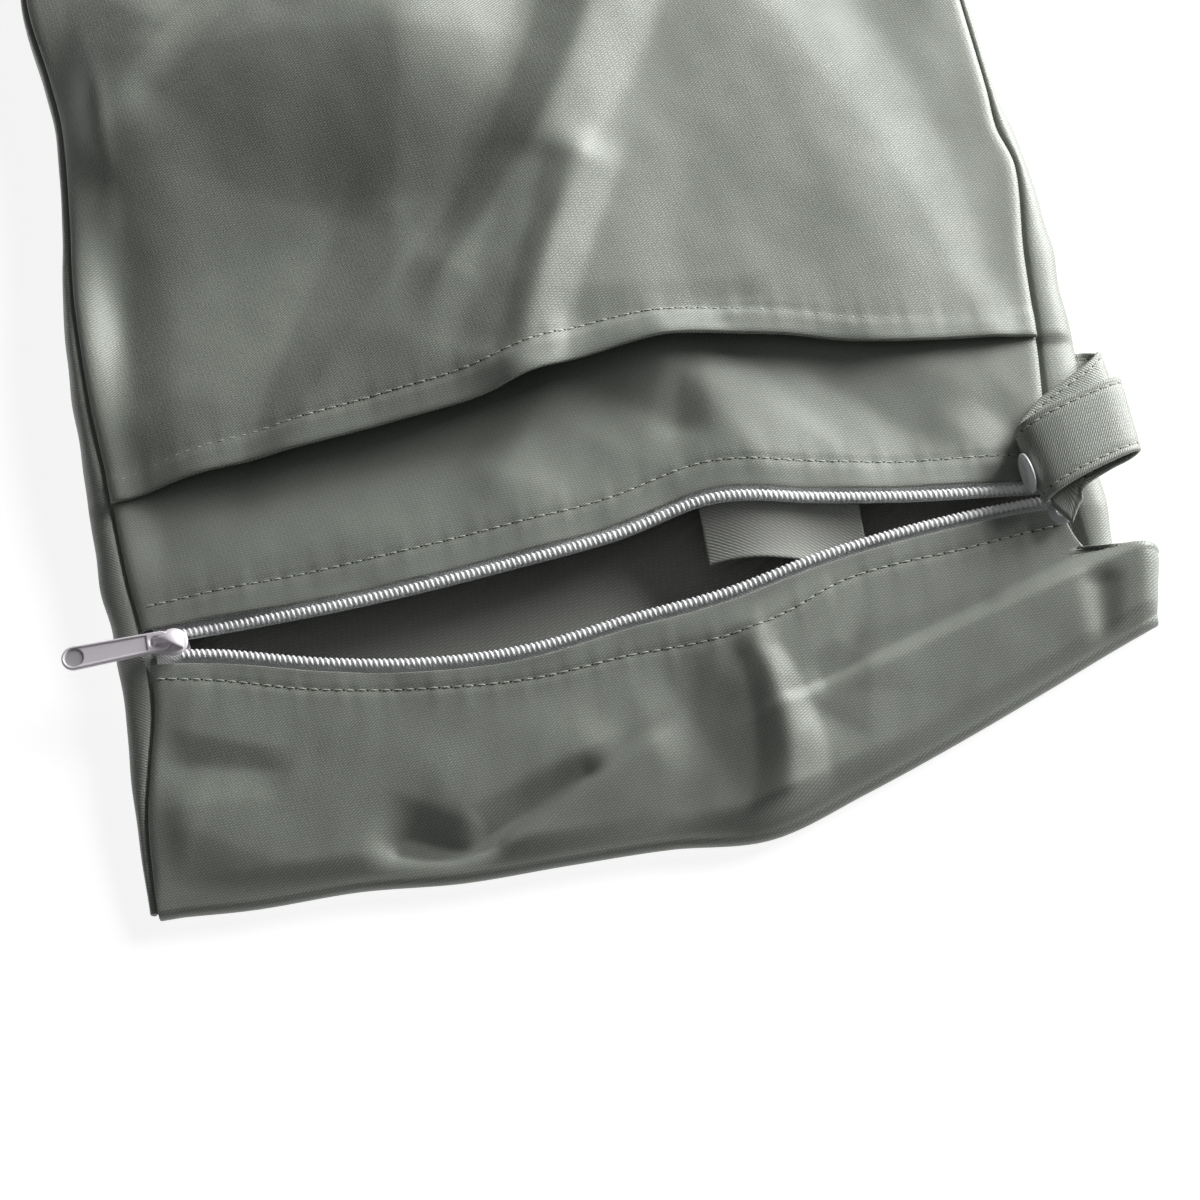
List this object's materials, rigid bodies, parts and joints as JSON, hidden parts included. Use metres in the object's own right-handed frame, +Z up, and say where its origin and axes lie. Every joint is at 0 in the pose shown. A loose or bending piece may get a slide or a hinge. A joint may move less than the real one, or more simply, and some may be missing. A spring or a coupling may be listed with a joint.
{
  "type": "cloth diaper wet bag",
  "caption": "Flat zip pouch of laminated cloth with side gussets, a front slip pocket, a coil zip, and a folded snap strap at one side; its pull swings on the slider.",
  "frame": {"origin": "centre of the flat back face that the bag lies on", "axes": "+Z up, away from the back face; +Y along the bag, away from the zip; +X across the bag, towards the strap"},
  "size_m": [0.3279, 0.4051, 0.0392],
  "materials": {
    "cloth": "fine grey green polyester twill with a soft sheen",
    "lining": "smooth pale facing cloth",
    "zip_tape": "woven grey zip tape",
    "zip_coil": "white nylon coil",
    "zip_metal": "very pale lilac white enamel on a cast slider and pull",
    "snap_plastic": "white moulded acetal"
  },
  "bodies": {
    "bag": {"back_panel": "cloth", "front_panel": "cloth", "pocket_panel": "cloth", "top_band": "cloth", "left_gusset": "cloth", "right_gusset": "cloth", "strap": "cloth", "inner_facing": "lining", "zip_tape_upper": "zip_tape", "zip_tape_lower": "zip_tape", "zip_coil_upper": "zip_coil", "zip_coil_lower": "zip_coil", "zip_slider": "zip_metal", "snap_cap": "snap_plastic", "snap_socket": "snap_plastic"},
    "pull": {"zip_pull": "zip_metal"}
  },
  "joints": [
    {"name": "pull_swing", "type": "hinge", "parent": "bag", "child": "pull", "pos_m": [-0.13383, -0.11831, 0.01765], "axis": [0, 1, 0], "range_deg": [0, 160]}
  ]
}
